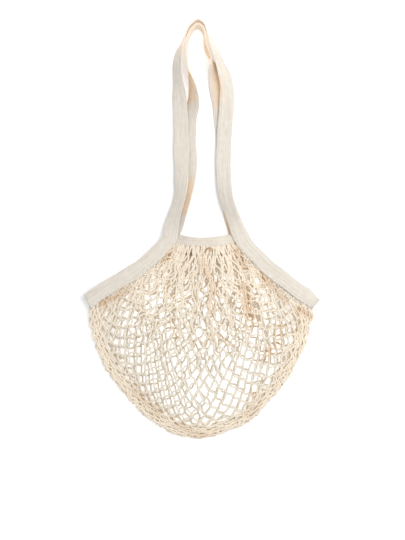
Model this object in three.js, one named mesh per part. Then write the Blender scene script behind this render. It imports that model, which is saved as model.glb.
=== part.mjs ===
// A string shopping bag lying flat on its back: a gathered cotton net, two long tapes that
// edge the net and run on as the handles, and two short bands that close the net at the mouth.
// Millimetres, +X across the bag, +Y towards the handles, +Z up from the surface it lies on.
import * as THREE from 'three';

// Driving sizes
const bag_width = 375; // between the two corners
const mouth_width = 107; // between the middles of the handle legs at the mouth
const handle_rise = 350; // from the mouth to the top of the handles
const corner_drop = 100; // from the mouth down to the corners
const net_drop = 322; // from the mouth down to the bottom of the net
const tape_width = 24;
const tape_thick = 2.4;
const band_height = 16;
const band_thick = 2.4;
const band_tuck = 8; // how far a band runs in under the tape at each end
const net_wall = 2.2;
const net_tuck = 3; // how far the net's edge runs in under the tape
const rim_width = 9; // the bunched strings along the folded edge of the net
const rim_thick = 4.4;
const net_loft = 14; // how high the front of the net stands over the back
const mouth_arch = 6.5; // how high the front band bows over the back band
const cell_width = 46; // one mesh of the net, across
const cell_height = 58; // one mesh of the net, from knot to knot
const strand = 7; // width of the net's material between two meshes
const side_steps = 3; // facets along one side of a mesh
const mesh_bow = 1.15; // 1 leaves a mesh's sides straight, 2 makes it round
const least_mesh = 0.16; // a mesh cut off by the rim to less than this share is left filled
const least_turn = 0.01; // corners nearer to one line than this are not swapped
const gap = 0.3;

const mouth_half = mouth_width / 2;
const flare = bag_width / 2 - mouth_half;
const dome_drop = net_drop - corner_drop;
const layer = tape_thick + gap;
const front_level = layer + band_thick + gap; // the underside of the front band and front net
const net_stack = front_level + band_thick + gap; // the underside of the front tape on the net

/** Turns rows of numbers into rows with named columns. */
function table(columns, rows) {
  return rows.map((row) => Object.fromEntries(columns.map((name, i) => [name, row[i]])));
}

// A tape's sections, from the left corner over the handle to the right corner. side: share of the
// half mouth; out: share of the flare from mouth to corner; up: share of the handle's rise;
// down: share of the corner's drop; roll: degrees that the inner edge is lifted; net, tape: how
// many net stacks and tape layers the section lies on.
const tape_columns = ['side', 'out', 'up', 'down', 'roll', 'net', 'tape'];
const front_tape_rows = table(tape_columns, [
  [-1, 1, 0, 1, 0, 1, 0],
  [-1, 0.86, 0, 0.86, 0, 1, 0],
  [-1, 0.71, 0, 0.73, 0, 1, 0],
  [-1, 0.4, 0, 0.48, 0, 1, 0],
  [-1, 0.25, 0, 0.32, 0, 1, 0],
  [-1, 0.11, 0, 0.14, 0, 1, 0],
  [-1, 0.01, 0.007, 0, 5, 1, 0],
  [-0.96, 0, 0.06, 0, 18, 0.6, 0.3],
  [-0.86, 0, 0.117, 0, 34, 0.2, 0.8],
  [-0.75, 0, 0.169, 0, 42, 0, 1],
  [-0.68, 0, 0.224, 0, 36, 0, 1],
  [-0.66, 0, 0.288, 0, 22, 0, 1],
  [-0.66, 0, 0.389, 0, 9, 0, 0.9],
  [-0.67, 0, 0.549, 0, 7, 0, 0.8],
  [-0.69, 0, 0.667, 0, 8, 0, 0.5],
  [-0.71, 0, 0.73, 0, 30, 0, 0],
  [-0.73, 0, 0.775, 0, 42, 0, 0],
  [-0.75, 0, 0.819, 0, 50, 0, 0],
  [-0.73, 0, 0.86, 0, 64, 0, 0],
  [-0.63, 0, 0.899, 0, 80, 0, 0],
  [-0.54, 0, 0.934, 0, 87, 0, 0],
  [-0.4, 0, 0.975, 0, 90, 0, 0],
  [-0.18, 0, 1, 0, 90, 0, 0],
  [0, 0, 0.986, 0, 89, 0, 0],
  [0.12, 0, 0.947, 0, 84, 0, 0],
  [0.25, 0, 0.902, 0, 68, 0, 0],
  [0.39, 0, 0.851, 0, 54, 0, 0],
  [0.53, 0, 0.796, 0, 48, 0, 0],
  [0.65, 0, 0.746, 0, 36, 0, 0],
  [0.71, 0, 0.686, 0, 24, 0, 0.4],
  [0.7, 0, 0.622, 0, 12, 0, 0.8],
  [0.66, 0, 0.549, 0, 4, 0, 1],
  [0.61, 0, 0.435, 0, 0, 0, 1],
  [0.59, 0, 0.32, 0, -6, 0, 1],
  [0.63, 0, 0.238, 0, -16, 0, 1.4],
  [0.71, 0, 0.174, 0, -28, 0, 1.7],
  [0.83, 0, 0.124, 0, -28, 0.2, 1.4],
  [0.95, 0, 0.078, 0, -12, 0.6, 0.5],
  [1, 0.02, 0.037, 0, -3, 1, 0],
  [1, 0.08, 0, 0.02, 0, 1, 0],
  [1, 0.15, 0, 0.144, 0, 1, 0],
  [1, 0.25, 0, 0.272, 0, 1, 0],
  [1, 0.36, 0, 0.424, 0, 1, 0],
  [1, 0.53, 0, 0.6, 0, 1, 0],
  [1, 0.74, 0, 0.816, 0, 1, 0],
  [1, 0.95, 0, 0.99, 0, 1, 0],
]);
const back_tape_rows = table(tape_columns, [
  [-1, 1, 0, 1, 0, 0, 0],
  [-1, 0.86, 0, 0.86, 0, 0, 0],
  [-1, 0.71, 0, 0.73, 0, 0, 0],
  [-1, 0.4, 0, 0.48, 0, 0, 0],
  [-1, 0.25, 0, 0.32, 0, 0, 0],
  [-1, 0.11, 0, 0.14, 0, 0, 0],
  [-0.98, 0, 0.01, 0, 0, 0, 0],
  [-0.93, 0, 0.035, 0, 0, 0, 0],
  [-0.83, 0, 0.065, 0, 6, 0, 0],
  [-0.7, 0, 0.12, 0, 24, 0, 0],
  [-0.6, 0, 0.17, 0, 32, 0, 0],
  [-0.5, 0, 0.23, 0, 28, 0, 0],
  [-0.43, 0, 0.3, 0, 14, 0, 0],
  [-0.42, 0, 0.389, 0, 0, 0, 0],
  [-0.45, 0, 0.48, 0, 0, 0, 0],
  [-0.4, 0, 0.565, 0, 12, 0, 0],
  [-0.3, 0, 0.63, 0, 40, 0, 0],
  [-0.32, 0, 0.69, 0, 58, 0, 0],
  [-0.38, 0, 0.737, 0, 76, 0, 0],
  [-0.44, 0, 0.77, 0, 90, 0, 0],
  [-0.48, 0, 0.815, 0, 95, 0, 0],
  [-0.5, 0, 0.86, 0, 96, 0, 0],
  [-0.49, 0, 0.9, 0, 98, 0, 0],
  [-0.43, 0, 0.932, 0, 100, 0, 0],
  [-0.34, 0, 0.958, 0, 100, 0, 0],
  [-0.2, 0, 0.974, 0, 100, 0, 0],
  [-0.06, 0, 0.963, 0, 98, 0, 0],
  [0.02, 0, 0.935, 0, 93, 0, 0],
  [0.03, 0, 0.897, 0, 92, 0, 0],
  [0.1, 0, 0.862, 0, 100, 0, 0],
  [0.22, 0, 0.826, 0, 88, 0, 0],
  [0.3, 0, 0.796, 0, 52, 0, 0],
  [0.36, 0, 0.755, 0, 16, 0, 0],
  [0.4, 0, 0.69, 0, 0, 0, 0],
  [0.48, 0, 0.62, 0, 0, 0, 0],
  [0.56, 0, 0.53, 0, 0, 0, 0],
  [0.59, 0, 0.41, 0, 0, 0, 0],
  [0.6, 0, 0.3, 0, -6, 0, 0],
  [0.65, 0, 0.23, 0, -16, 0, 0],
  [0.72, 0, 0.17, 0, -28, 0, 0],
  [0.8, 0, 0.12, 0, -24, 0, 0],
  [0.9, 0, 0.07, 0, -6, 0, 0],
  [0.96, 0, 0.035, 0, 0, 0, 0],
  [0.99, 0, 0.01, 0, 0, 0, 0],
  [1, 0.08, 0, 0.03, 0, 0, 0],
  [1, 0.15, 0, 0.144, 0, 0, 0],
  [1, 0.25, 0, 0.272, 0, 0, 0],
  [1, 0.36, 0, 0.424, 0, 0, 0],
  [1, 0.53, 0, 0.6, 0, 0, 0],
  [1, 0.74, 0, 0.816, 0, 0, 0],
  [1, 0.95, 0, 0.99, 0, 0, 0],
]);

// A band's sections from left to right. along: share of the half mouth; sag: share of the band's
// height that it hangs down; tall: share of the band's height; arch: share of the mouth's arch.
const band_rows = table(['along', 'sag', 'tall', 'arch'], [
  [-1, 0, 1.1, 0],
  [-0.75, 0.04, 1.1, 0.1],
  [-0.5, 0.14, 1.04, 0.75],
  [-0.2, 0.22, 0.96, 1],
  [0.2, 0.22, 0.96, 1],
  [0.5, 0.14, 1.04, 0.75],
  [0.75, 0.04, 1.1, 0.1],
  [1, 0, 1.1, 0],
]);

// The folded edge of the net from the right corner round the bottom to the left corner.
// across: share of the half width; down: share of the drop from the corners to the bottom.
const edge_rows = table(['across', 'down'], [
  [0.94, 0.08],
  [0.925, 0.18],
  [0.885, 0.31],
  [0.84, 0.4],
  [0.785, 0.49],
  [0.675, 0.635],
  [0.6, 0.71],
  [0.45, 0.842],
  [0.34, 0.91],
  [0.15, 0.968],
  [0.02, 0.995],
  [-0.1, 0.995],
  [-0.22, 0.977],
  [-0.37, 0.906],
  [-0.53, 0.812],
  [-0.67, 0.675],
  [-0.8, 0.53],
  [-0.895, 0.38],
  [-0.965, 0.195],
  [-0.985, 0.11],
  [-0.98, 0.03],
]);

// The folds pressed into the front of the net. Places as for the edge, with down measured from
// the mouth as a share of the net's drop; rise: share of the loft; broad: share of the half width.
const fold_rows = table(['across', 'down', 'to_across', 'to_down', 'rise', 'broad'], [
  [-0.03, 0.1, 0.05, 0.36, 0.4, 0.07],
  [0.34, 0.24, 0.36, 0.5, 0.45, 0.07],
  [0.82, 0.36, 0.72, 0.56, 0.5, 0.08],
  [0.72, 0.56, 0.4, 0.64, 0.4, 0.09],
  [-0.45, 0.57, 0.4, 0.56, 0.35, 0.06],
  [-0.85, 0.4, -0.6, 0.68, 0.4, 0.08],
  [-0.36, 0.16, -0.5, 0.46, -0.35, 0.08],
  [0.12, 0.6, 0.2, 0.88, -0.3, 0.14],
]);
const gathers = 11; // soft pleats that fan out under the bands
const gather_share = 0.5; // how far the meshes are drawn in sideways at the mouth
const gather_depth = 0.14; // depth of a pleat, as a share of the loft
const fold_share = 0.6; // how much of the table's rise the folds keep

function smooth(from, to, value) {
  return THREE.MathUtils.smoothstep(value, from, to);
}

/** Points, rolls and widths along a spline through rows, about one station every `step`. */
function stations(rows, placeOf, step) {
  const places = rows.map(placeOf);
  const path = new THREE.CatmullRomCurve3(places.map((p) => p.at), false, 'centripetal');
  const out = [];
  for (let i = 0; i < places.length - 1; i += 1) {
    const [a, b] = [places[i], places[i + 1]];
    const count = Math.max(1, Math.ceil(a.at.distanceTo(b.at) / step));
    for (let k = 0; k < count + (i === places.length - 2 ? 1 : 0); k += 1) {
      const share = k / count;
      const t = (i + share) / (places.length - 1);
      const ease = smooth(0, 1, share);
      const tangent = path.getTangent(t).setZ(0).normalize();
      out.push({
        at: path.getPoint(t),
        inward: new THREE.Vector3(tangent.y, -tangent.x, 0),
        roll: THREE.MathUtils.lerp(a.roll, b.roll, ease),
        width: THREE.MathUtils.lerp(a.width, b.width, ease),
        lift: THREE.MathUtils.lerp(a.lift, b.lift, ease),
      });
    }
  }
  return out;
}

/** The middle, the direction across and the direction through the cloth at one station. */
function stationFrame(station, thick) {
  const up = new THREE.Vector3(0, 0, 1);
  const turn = THREE.MathUtils.degToRad(station.roll);
  const [c, s] = [Math.cos(turn), Math.sin(turn)];
  const across = station.inward.clone().multiplyScalar(c).addScaledVector(up, s);
  const through = up.clone().multiplyScalar(c).addScaledVector(station.inward, -s);
  const half_high = (station.width * Math.abs(s) + thick * Math.abs(c)) / 2;
  const middle = station.at.clone().setZ(station.lift + half_high);
  return { middle, across, through };
}

/** A strip of cloth with softened edges, lofted through stations. */
function ribbon(path, thick) {
  const positions = [];
  const section = [
    [-1, -0.3], [-0.93, -0.5], [0.93, -0.5], [1, -0.3], [1, 0.3], [0.93, 0.5], [-0.93, 0.5], [-1, 0.3],
  ];
  for (const station of path) {
    const { middle, across, through } = stationFrame(station, thick);
    for (const [a, b] of section) {
      const point = middle.clone().addScaledVector(across, (a * station.width) / 2);
      positions.push(...point.addScaledVector(through, b * thick).toArray());
    }
  }
  const n = section.length;
  const index = [];
  for (let i = 0; i < path.length - 1; i += 1) {
    for (let k = 0; k < n; k += 1) {
      const [a, b] = [i * n + k, i * n + ((k + 1) % n)];
      index.push(a, b, b + n, a, b + n, a + n);
    }
  }
  const last = (path.length - 1) * n;
  for (let k = 1; k < n - 1; k += 1) {
    index.push(0, k + 1, k, last, last + k, last + k + 1);
  }
  return closedGeometry(positions, index);
}

/** An indexed geometry whose faces are turned to point outwards. */
function closedGeometry(positions, index) {
  const corner = (i) => new THREE.Vector3().fromArray(positions, index[i] * 3);
  let volume = 0;
  for (let i = 0; i < index.length; i += 3) {
    volume += corner(i).dot(corner(i + 1).cross(corner(i + 2)));
  }
  const faces = volume > 0 ? index : index.slice().reverse();
  const geometry = new THREE.BufferGeometry();
  geometry.setAttribute('position', new THREE.Float32BufferAttribute(positions, 3));
  geometry.setIndex(faces);
  geometry.computeVertexNormals();
  return geometry;
}

function tapePlace(row) {
  const side = Math.sign(row.side);
  const x = row.side * mouth_half + side * row.out * flare;
  const y = row.up * handle_rise - row.down * corner_drop;
  const lift = row.net * net_stack + row.tape * layer;
  return { at: new THREE.Vector3(x, y, 0), roll: row.roll, width: tape_width, lift };
}

function bandPlace(level, arch_size) {
  const reach = mouth_half - tape_width / 2 + band_tuck;
  return (row) => ({
    at: new THREE.Vector3(row.along * reach, -row.sag * band_height, 0),
    roll: 0,
    width: row.tall * band_height,
    lift: level + row.arch * arch_size,
  });
}

/** The nearest distance in plan from a point to a line of points. */
function distanceTo(line, x, y, closed) {
  let best = Infinity;
  for (let i = 0; i < line.length - (closed ? 0 : 1); i += 1) {
    const [a, b] = [line[i], line[(i + 1) % line.length]];
    const [dx, dy] = [b.x - a.x, b.y - a.y];
    const t = THREE.MathUtils.clamp(((x - a.x) * dx + (y - a.y) * dy) / (dx * dx + dy * dy), 0, 1);
    best = Math.min(best, Math.hypot(x - a.x - t * dx, y - a.y - t * dy));
  }
  return best;
}

function inside(line, x, y) {
  let within = false;
  for (let i = 0, j = line.length - 1; i < line.length; j = i, i += 1) {
    const [a, b] = [line[i], line[j]];
    if (a.y > y !== b.y > y && x < ((b.x - a.x) * (y - a.y)) / (b.y - a.y) + a.x) within = !within;
  }
  return within;
}

/** The net's outline in plan: in under the tape and along the band, then round the folded edge. */
function netOutline(tape, band) {
  const inset = tape_width / 2 - net_tuck;
  const band_line = band.map((s) => s.at.clone().addScaledVector(s.inward, s.width / 2 + gap));
  const band_low = Math.max(...band_line.map((p) => p.y));
  const tucked = tape
    .filter((s) => s.roll === 0 || s.at.y < band_low)
    .map((s) => s.at.clone().addScaledVector(s.inward, inset))
    .filter((p) => p.y < band_low - gap);
  const short_of_end = (p) => p.y > -corner_drop * 0.93;
  const left = tucked.filter((p) => p.x < 0 && short_of_end(p));
  const right = tucked.filter((p) => p.x > 0 && short_of_end(p));
  const [first, last] = [left[left.length - 1].x, right[0].x];
  const middle = band_line.filter((p) => p.x > first + rim_width && p.x < last - rim_width);
  const top = [...left, ...middle, ...right];
  const drop = (row) => -corner_drop - row.down * dome_drop;
  const knots = edge_rows.map((row) => new THREE.Vector3((row.across * bag_width) / 2, drop(row), 0));
  const curve = new THREE.CatmullRomCurve3(knots, false, 'centripetal');
  const edge = curve.getPoints(edge_rows.length * 2 - 2);
  const flat = (p) => new THREE.Vector2(p.x, p.y);
  const covers = [[tucked[0], ...left], [...right, tucked[tucked.length - 1]]];
  return { covers: covers.map((line) => line.map(flat)), edge: edge.map(flat), all: [...top, ...edge].map(flat) };
}

/** The meshes of the net: bowed diamonds in staggered rows, drawn in sideways towards the mouth. */
function netMeshes(outline, shift) {
  const half = [cell_width / 2, cell_height / 2];
  const clear = rim_width + strand / 4;
  const drawn = (y) => THREE.MathUtils.lerp(gather_share, 1, smooth(0, net_drop * 0.4, -y));
  const laid = (x, y) => new THREE.Vector2(x * drawn(y), y);
  const borders = [...outline.covers, outline.edge];
  const roomy = (p) =>
    inside(outline.all, p.x, p.y) &&
    distanceTo(outline.all, p.x, p.y, true) > strand / 2 &&
    borders.every((line) => distanceTo(line, p.x, p.y, false) > clear);
  const holes = [];
  const rows = Math.ceil(net_drop / half[1]) + 1;
  const columns = Math.ceil(bag_width / cell_width) + 2;
  for (let j = -2; j <= rows; j += 1) {
    for (let i = -columns; i <= columns; i += 1) {
      const px = (i + Math.abs(j % 2) / 2 + shift.x) * cell_width;
      const py = -(j + shift.y) * half[1];
      if (!roomy(laid(px, py))) continue;
      const reach = half[0] - (strand * 0.6) / drawn(py);
      const corners = [];
      for (let k = 0; k < side_steps * 4; k += 1) {
        const turn = -((k / side_steps) * Math.PI) / 2;
        const [c, s] = [Math.cos(turn), Math.sin(turn)];
        const bow = 1 / (Math.abs(c) ** mesh_bow + Math.abs(s) ** mesh_bow) ** (1 / mesh_bow);
        const at = (share) => laid(px + c * bow * reach * share, py + s * bow * (half[1] - strand * 0.75) * share);
        let share = 1;
        while (share > 0.1 && !roomy(at(share))) share -= 0.05;
        corners.push(at(share));
      }
      const kept = Math.abs(THREE.ShapeUtils.area(corners)) / (cell_width * cell_height * 0.5 * drawn(py));
      if (kept > least_mesh) holes.push(corners);
    }
  }
  return holes;
}

/** Height that the table's folds and the fanned pleats add to the front of the net, as a share of the loft. */
function folds(x, y) {
  let height = 0;
  for (const fold of fold_rows) {
    const from = new THREE.Vector2((fold.across * bag_width) / 2, -fold.down * net_drop);
    const to = new THREE.Vector2((fold.to_across * bag_width) / 2, -fold.to_down * net_drop);
    const away = distanceTo([from, to], x, y, false) / ((fold.broad * bag_width) / 2);
    height += fold.rise * Math.exp(-away * away);
  }
  const fan = Math.atan2(x, mouth_half - y);
  const fade = 1 - smooth(corner_drop * 0.4, corner_drop * 1.6, -y);
  return height + gather_depth * fade * Math.cos(fan * gathers * 2);
}

/** Underside height and thickness of the front or the back of the net at a point in plan. */
function netLayer(is_front, outline, x, y) {
  const from_tape = Math.min(...outline.covers.map((line) => distanceTo(line, x, y, false)));
  const from_edge = distanceTo(outline.edge, x, y, false);
  const near_tape = 1 - smooth(tape_width * 0.7, tape_width * 2.2, from_tape);
  const bunch = (1 - smooth(rim_width, rim_width * 2.2, from_edge)) * (1 - near_tape);
  const thick = net_wall + (rim_thick - net_wall) * bunch;
  if (!is_front) return { under: layer * near_tape, thick };
  const base = THREE.MathUtils.lerp(rim_thick + gap, layer + net_wall + gap, near_tape);
  const round_edge = smooth(rim_width * 0.8, dome_drop * 0.35, from_edge);
  const crown = round_edge * smooth(tape_width * 0.4, dome_drop * 0.36, from_tape);
  const bowed = 1 - smooth(0, net_drop * 0.16, -y);
  const mouth = 1 - smooth(mouth_half * 0.25, mouth_half * 0.95, Math.abs(x));
  const lifted = crown * (1 + fold_share * folds(x, y)) * net_loft;
  return { under: base + Math.max(lifted, bowed * mouth * mouth_arch), thick };
}

/** Twice the area of a triangle in plan, positive when it turns anticlockwise. */
function turn(a, b, c) {
  return (b.x - a.x) * (c.y - a.y) - (b.y - a.y) * (c.x - a.x);
}

/** Swaps the shared sides of neighbouring triangles until none of them is a needless sliver. */
function evenOut(points, faces) {
  const even = faces.map((face) => face.slice());
  for (let swaps = 1, pass = 0; swaps > 0 && pass < 60; pass += 1) {
    const owners = new Map();
    even.forEach((face, f) => {
      face.forEach((a, k) => {
        const b = face[(k + 1) % 3];
        const side = `${Math.min(a, b)},${Math.max(a, b)}`;
        owners.set(side, [...(owners.get(side) ?? []), f]);
      });
    });
    const changed = new Set();
    swaps = 0;
    for (const [side, pair] of owners) {
      if (pair.length < 2 || changed.has(pair[0]) || changed.has(pair[1])) continue;
      const [a, b] = side.split(',').map(Number);
      const [c, d] = pair.map((f) => even[f].find((i) => i !== a && i !== b));
      const [pa, pb, pc, pd] = [a, b, c, d].map((i) => points[i]);
      if (turn(pc, pd, pa) * turn(pc, pd, pb) > -least_turn) continue;
      const angle = (at, p, q) => Math.acos(p.clone().sub(at).normalize().dot(q.clone().sub(at).normalize()));
      if (angle(pc, pa, pb) + angle(pd, pa, pb) < Math.PI + 0.01) continue;
      even[pair[0]] = [c, d, a];
      even[pair[1]] = [c, d, b];
      pair.forEach((f) => changed.add(f));
      swaps += 1;
    }
  }
  return even;
}

/** One layer of the net: its plan with the meshes cut through, laid over the heights of netLayer. */
function netSheet(is_front, outline, shift) {
  const contour = THREE.ShapeUtils.isClockWise(outline.all) ? outline.all.slice().reverse() : outline.all;
  const holes = netMeshes(outline, shift);
  const loops = [contour, ...holes];
  const points = loops.flat();
  const positions = [];
  for (const p of points) {
    const { under, thick } = netLayer(is_front, outline, p.x, p.y);
    positions.push(p.x, p.y, under, p.x, p.y, under + thick);
  }
  const index = [];
  for (const face of evenOut(points, THREE.ShapeUtils.triangulateShape(contour, holes))) {
    const left_turn = turn(...face.map((i) => points[i])) > 0;
    const [a, b, c] = left_turn ? face : [face[0], face[2], face[1]];
    index.push(2 * a + 1, 2 * b + 1, 2 * c + 1, 2 * a, 2 * c, 2 * b);
  }
  let start = 0;
  for (const loop of loops) {
    for (let i = 0; i < loop.length; i += 1) {
      const [a, b] = [2 * (start + i), 2 * (start + ((i + 1) % loop.length))];
      index.push(a, b, b + 1, a, b + 1, a + 1);
    }
    start += loop.length;
  }
  return closedGeometry(positions, index);
}

function cloth(color, roughness) {
  return new THREE.MeshStandardMaterial({ color, roughness, metalness: 0 });
}

function piece(name, geometry, material) {
  const mesh = new THREE.Mesh(geometry, material);
  mesh.name = name;
  return mesh;
}

const tape_step = 12;
const band_step = 9;
const front_tape = stations(front_tape_rows, tapePlace, tape_step);
const back_tape = stations(back_tape_rows, tapePlace, tape_step);
const front_band = stations(band_rows, bandPlace(front_level, mouth_arch), band_step);
const back_band = stations(band_rows, bandPlace(layer, -layer), band_step);
const front_outline = netOutline(front_tape, front_band);
const back_outline = netOutline(back_tape, back_band);

const bag = new THREE.Group();
bag.add(piece('front_handle_tape', ribbon(front_tape, tape_thick), cloth('#e9e1d4', 0.9)));
bag.add(piece('back_handle_tape', ribbon(back_tape, tape_thick), cloth('#e6ddcf', 0.9)));
bag.add(piece('front_mouth_band', ribbon(front_band, band_thick), cloth('#ebe3d6', 0.9)));
bag.add(piece('back_mouth_band', ribbon(back_band, band_thick), cloth('#e6ddcf', 0.9)));
bag.add(piece('front_net', netSheet(true, front_outline, { x: 0, y: 1.1 }), cloth('#f0e3cd', 0.95)));
bag.add(piece('back_net', netSheet(false, back_outline, { x: 0.25, y: 1.6 }), cloth('#eadbc2', 0.95)));

// The origin is the middle of the underside of the whole bag.
const box = new THREE.Box3().setFromObject(bag);
const middle = box.getCenter(new THREE.Vector3());
bag.position.set(-middle.x, -middle.y, -box.min.z);
bag.updateMatrixWorld(true);

export default bag;
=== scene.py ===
# %% [markdown]
# # A cotton string bag, laid flat
#
# A string bag is two long cotton tapes, two short bands and one sheet of net. The tapes edge the
# net from corner to corner and run on above it as the handles. The bands close the net at the
# mouth, where all of its width is gathered into a hand's breadth.
#
# The solids that the bag is built on are loaded first and stay where they are. Every piece below
# is worked out in their frame: metres, +X to the right corner, +Y towards the handles, +Z up.

# %% The fixed frame
import math

import bpy
import numpy as np
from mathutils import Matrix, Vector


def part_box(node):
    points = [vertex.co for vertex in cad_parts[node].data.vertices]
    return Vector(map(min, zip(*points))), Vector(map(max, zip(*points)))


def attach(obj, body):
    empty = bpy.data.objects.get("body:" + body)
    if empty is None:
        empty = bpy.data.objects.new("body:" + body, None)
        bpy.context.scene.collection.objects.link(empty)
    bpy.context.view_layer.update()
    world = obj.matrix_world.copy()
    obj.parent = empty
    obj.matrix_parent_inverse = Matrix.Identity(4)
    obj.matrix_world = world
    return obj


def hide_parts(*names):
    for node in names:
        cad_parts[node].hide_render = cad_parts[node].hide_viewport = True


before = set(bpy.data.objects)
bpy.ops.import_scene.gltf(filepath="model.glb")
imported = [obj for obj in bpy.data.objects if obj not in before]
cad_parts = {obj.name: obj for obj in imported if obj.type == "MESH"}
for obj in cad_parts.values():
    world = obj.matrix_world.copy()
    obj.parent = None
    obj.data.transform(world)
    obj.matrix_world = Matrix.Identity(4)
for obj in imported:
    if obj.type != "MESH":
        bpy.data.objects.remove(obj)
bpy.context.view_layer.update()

print("solids:", sorted(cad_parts))

# %% [markdown]
# ## Camera and light
#
# The bag lies on a white floor and is seen straight from above. A real photographer would use one
# large soft lamp beside the camera and white walls all round. The walls could be modelled, but a
# white world gives the same even fill with less noise, so only the lamp is an object here. It
# stands to the upper right, which lays the soft shadow along the lower left edges.

# %% The camera
picture_high = 0.864  # metres of floor that the picture's height takes in
picture_middle = (0.0022, -0.0629)
seen_height = 0.008
lens, film = 85.0, 36.0

camera_data = bpy.data.cameras.new("camera")
camera_data.lens = lens
camera_data.sensor_width = film
camera = bpy.data.objects.new("camera", camera_data)
camera.location = (*picture_middle, seen_height + picture_high * lens / film)
bpy.context.collection.objects.link(camera)
bpy.context.scene.camera = camera
bpy.context.scene.view_settings.view_transform = "Standard"
print("camera height:", round(camera.location.z, 3))

# %% Lamp, world and floor
def area_lamp(name, place, size, power):
    """A square white lamp at a place, aimed at the middle of the picture."""
    data = bpy.data.lights.new(name, "AREA")
    data.size = size
    data.energy = power
    lamp = bpy.data.objects.new(name, data)
    lamp.location = place
    middle = np.array([*picture_middle, 0.0])
    aim = middle - np.array(place)
    flat = math.hypot(aim[0], aim[1])
    lamp.rotation_euler = (math.atan2(flat, -aim[2]), 0.0, math.atan2(-aim[0], aim[1]))
    bpy.context.collection.objects.link(lamp)


lamp_place = (0.62, 0.3, 1.0)
lamp_size = 0.8
lamp_watts = 9.5
room_light = 0.86

area_lamp("soft_box", lamp_place, lamp_size, lamp_watts)
world = bpy.data.worlds.new("white_room")
world.use_nodes = True
background = world.node_tree.nodes["Background"]
background.inputs["Color"].default_value = (1.0, 1.0, 1.0, 1.0)
background.inputs["Strength"].default_value = room_light
bpy.context.scene.world = world

# %% [markdown]
# ## Writing materials as sums
#
# A procedural material is a formula, and a formula reads best as an expression. `Link` wraps the
# output of a shader node, and its operators add the Math nodes, so `1 - ribs * 0.3` builds the
# nodes that work it out. Every other node comes from `add`.

# %% Links between shader nodes
class Link:
    """The output of a shader node, with the arithmetic that adds Math nodes."""

    def __init__(self, tree, socket):
        self.tree, self.socket = tree, socket

    def maths(self, operation, *values):
        return add(self.tree, "ShaderNodeMath", {"operation": operation}, dict(enumerate(values)))

    def __add__(self, other):
        return self.maths("ADD", self, other)

    def __sub__(self, other):
        return self.maths("SUBTRACT", self, other)

    def __rsub__(self, other):
        return self.maths("SUBTRACT", other, self)

    def __mul__(self, other):
        return self.maths("MULTIPLY", self, other)

    __radd__, __rmul__ = __add__, __mul__


def add(tree, kind, settings=None, inputs=None, out=0):
    """Adds a node: its settings are set first, then the values or links of its sockets."""
    node = tree.nodes.new(kind)
    for name, value in (settings or {}).items():
        if name == "stops":
            ramp = node.color_ramp
            for k, (place, colour) in enumerate(value):
                stop = ramp.elements[k] if k < 2 else ramp.elements.new(place)
                stop.position, stop.color = place, (*colour, 1.0)
        else:
            setattr(node, name, value)
    for name, value in (inputs or {}).items():
        if isinstance(value, Link):
            tree.links.new(value.socket, node.inputs[name])
        else:
            node.inputs[name].default_value = value
    return Link(tree, node.outputs[out]) if node.outputs else None


def new_material(name):
    """An empty material and its node tree."""
    material = bpy.data.materials.new(name)
    material.use_nodes = True
    material.node_tree.nodes.clear()
    return material, material.node_tree


def finish_cloth(tree, colour, height, distance, roughness, lit_through):
    """Matt cotton: a Principled shader with a bump of `height` and the soft sheen of loose fibre.
    The light that comes through thin cloth from the other side is a faint glow of its own."""
    bump = add(tree, "ShaderNodeBump", None, {"Height": height, "Distance": distance, "Strength": 1.0})
    shader = add(tree, "ShaderNodeBsdfPrincipled", None, {
        "Base Color": colour, "Roughness": roughness, "Normal": bump,
        "Specular IOR Level": 0.2, "Sheen Weight": 0.25, "Sheen Roughness": 0.6,
        "Emission Color": lit_through, "Emission Strength": 1.0,
    })
    add(tree, "ShaderNodeOutputMaterial", None, {"Surface": shader})


def blend_colours(tree, share, first, second):
    """Goes from the first colour to the second as the share goes from 0 to 1."""
    mix = {"data_type": "RGBA"}
    return add(tree, "ShaderNodeMix", mix, {0: share, 6: first, 7: second}, out=2)


print("operators:", [name for name in vars(Link) if name.startswith("__")])

# %% [markdown]
# ## The floor
#
# The floor only has to take the shadow. It is one large square, white like seamless paper, whose
# faint mottling keeps it from being a single flat colour. A photographer's table for such pictures
# is also lit from below, so that it comes out white while the pale cotton on it does not burn out.
# A second lamp under a glass floor would do that too, but slowly, so the floor glows by itself:
# most under the net, where it shines up through the meshes, and least in a ring round the bag,
# where the soft shadow has to show.

# %% The floor sheet
def floor_material():
    material, tree = new_material("white_paper")
    place = add(tree, "ShaderNodeTexCoord", out=3)
    mottle = add(tree, "ShaderNodeTexNoise", None, {"Vector": place, "Scale": 3.0})
    colour = blend_colours(tree, mottle, (0.84, 0.84, 0.845, 1.0), (0.87, 0.87, 0.87, 1.0))
    distance = {"operation": "DISTANCE"}
    away = add(tree, "ShaderNodeVectorMath", distance, {0: place, 1: glow_middle}, out=1)
    glow = add(tree, "ShaderNodeValToRGB", {"stops": glow_stops}, {0: away})
    shader = add(tree, "ShaderNodeBsdfPrincipled", None, {
        "Base Color": colour, "Roughness": 1.0, "Specular IOR Level": 0.0,
        "Emission Color": glow, "Emission Strength": floor_glow,
    })
    add(tree, "ShaderNodeOutputMaterial", None, {"Surface": shader})
    return material


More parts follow.
